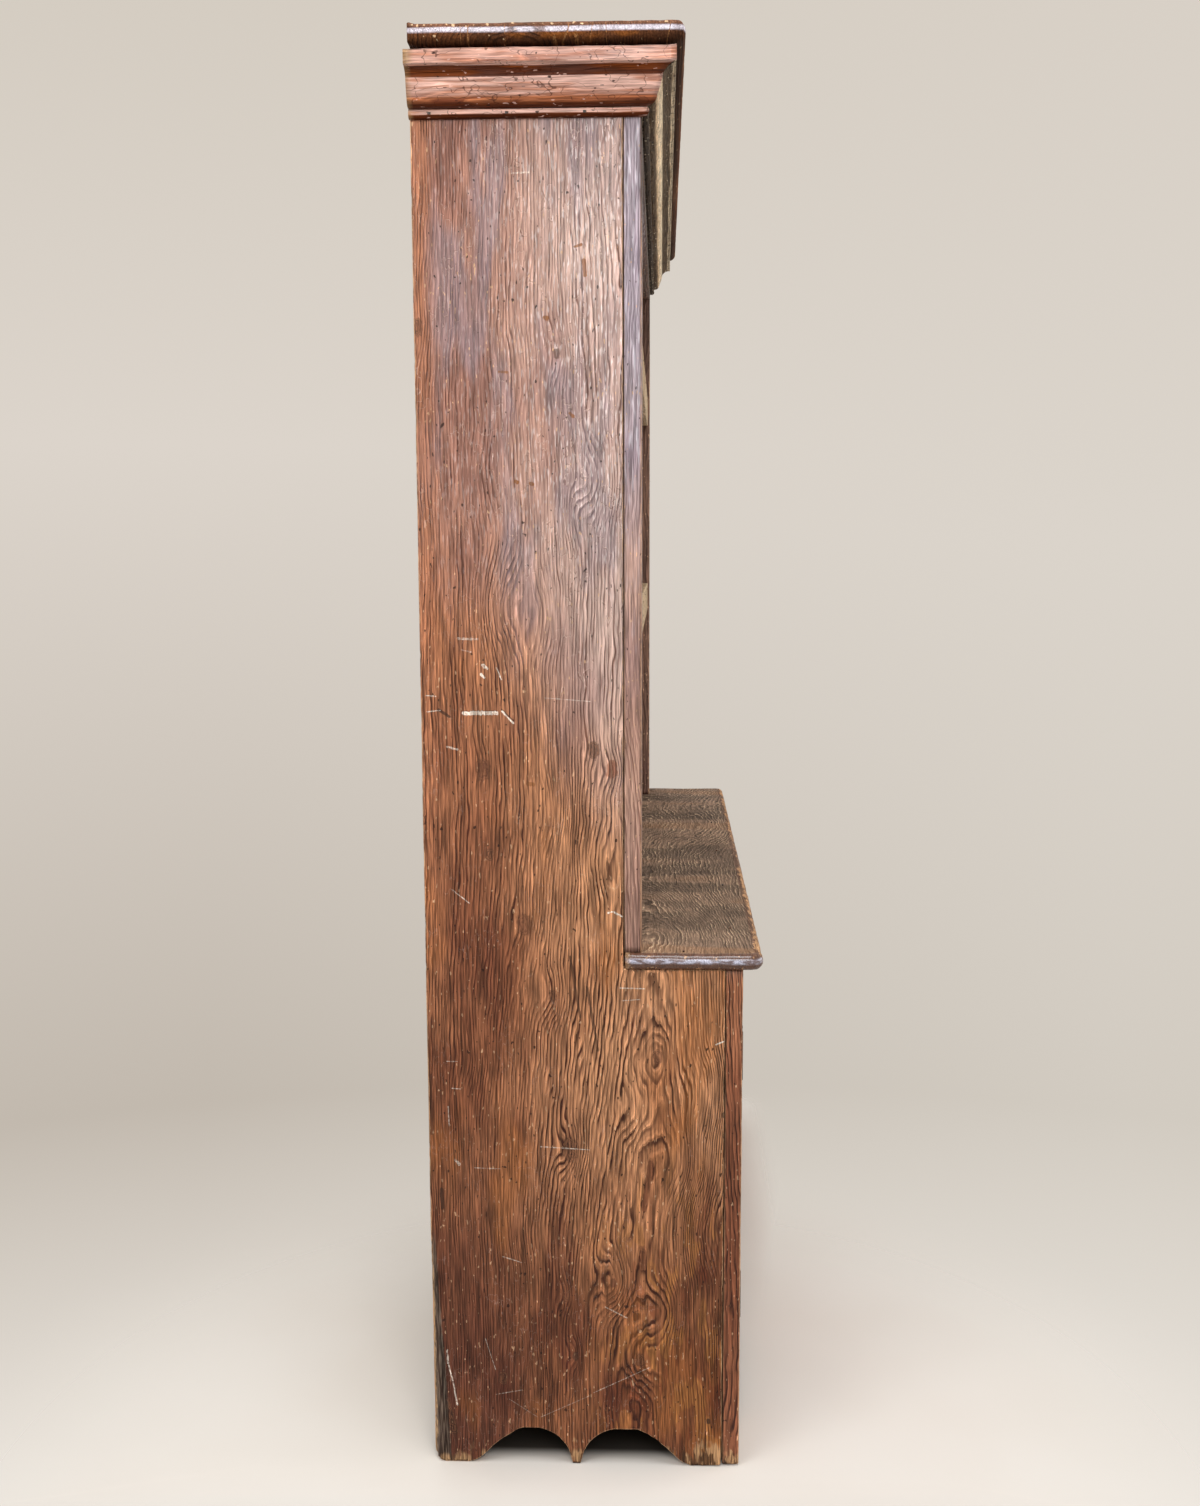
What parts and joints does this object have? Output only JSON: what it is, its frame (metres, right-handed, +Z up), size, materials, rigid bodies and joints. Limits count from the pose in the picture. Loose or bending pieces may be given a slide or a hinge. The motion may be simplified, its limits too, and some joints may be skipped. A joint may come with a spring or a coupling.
{
  "type": "step back cupboard",
  "caption": "Tall step back cupboard with open shelves under a mitred cornice, a counter board, and two panelled doors with a turn button below; scalloped feet.",
  "frame": {"origin": "on the floor, midway between the ends and between the back and the front of the counter", "axes": "+X to the right as seen from the front, -Y forwards through the doors, +Z up"},
  "size_m": [1.61, 0.49, 2.058],
  "materials": {
    "red_washed_pine": "worn red wash over open grained pine, dry satin",
    "counter_board": "dark worn pine, scratched, tan at the edges",
    "top_board": "very dark stained pine, worn nosing",
    "red_cornice": "worn red paint on moulded pine",
    "bare_shelf": "bare weathered pine, matt",
    "back_boards": "rough sawn unpainted pine",
    "turned_wood": "dark turned wood, handled smooth",
    "iron_hinges": "dark iron with light rust",
    "iron_nails": "dark cut nails"
  },
  "bodies": {
    "case": {"apron": "red_washed_pine", "backboard_1": "back_boards", "backboard_2": "back_boards", "backboard_3": "back_boards", "backboard_4": "back_boards", "backboard_5": "back_boards", "backboard_6": "back_boards", "backboard_nails": "iron_nails", "bead_front": "red_cornice", "bead_left": "red_cornice", "bead_right": "red_cornice", "bottom_board": "bare_shelf", "button_screw": "iron_hinges", "case_nails": "iron_nails", "cornice_nails": "iron_nails", "counter": "counter_board", "crown_front": "red_cornice", "crown_left": "red_cornice", "crown_right": "red_cornice", "door_stop": "bare_shelf", "frame_pegs": "red_washed_pine", "frieze_rail": "red_washed_pine", "hinge_leaves_case": "iron_hinges", "hinge_pins": "iron_hinges", "hinge_screws_case": "iron_hinges", "lower_shelf": "bare_shelf", "lower_stile_left": "red_washed_pine", "lower_stile_right": "red_washed_pine", "middle_shelf": "bare_shelf", "middle_shelf_lip": "bare_shelf", "mullion": "red_washed_pine", "shelf_cleats": "bare_shelf", "side_left": "red_washed_pine", "side_right": "red_washed_pine", "top_board": "top_board", "top_rail": "red_washed_pine", "upper_shelf": "bare_shelf", "upper_shelf_lip": "bare_shelf", "upper_stile_left": "red_washed_pine", "upper_stile_right": "red_washed_pine"},
    "left_door": {"left_door_bottom_rail": "red_washed_pine", "left_door_hinge_leaves": "iron_hinges", "left_door_hinge_stile": "red_washed_pine", "left_door_knob": "turned_wood", "left_door_lock_stile": "red_washed_pine", "left_door_panel": "red_washed_pine", "left_door_pegs": "red_washed_pine", "left_door_screws": "iron_hinges", "left_door_top_rail": "red_washed_pine"},
    "right_door": {"right_door_bottom_rail": "red_washed_pine", "right_door_hinge_leaves": "iron_hinges", "right_door_hinge_stile": "red_washed_pine", "right_door_knob": "turned_wood", "right_door_lock_stile": "red_washed_pine", "right_door_panel": "red_washed_pine", "right_door_pegs": "red_washed_pine", "right_door_screws": "iron_hinges", "right_door_top_rail": "red_washed_pine"},
    "turn_button": {"turn_button": "turned_wood"}
  },
  "joints": [
    {"name": "left_door_hinge", "type": "hinge", "parent": "case", "child": "left_door", "pos_m": [-0.6585, -0.2189, 0.4215], "axis": [0, 0, -1], "range_deg": [0, 170]},
    {"name": "right_door_hinge", "type": "hinge", "parent": "case", "child": "right_door", "pos_m": [0.6585, -0.2189, 0.4215], "axis": [0, 0, 1], "range_deg": [0, 170]},
    {"name": "turn_button_pivot", "type": "hinge", "parent": "case", "child": "turn_button", "pos_m": [0, -0.221, 0.452], "axis": [0, -1, 0], "continuous": true}
  ]
}
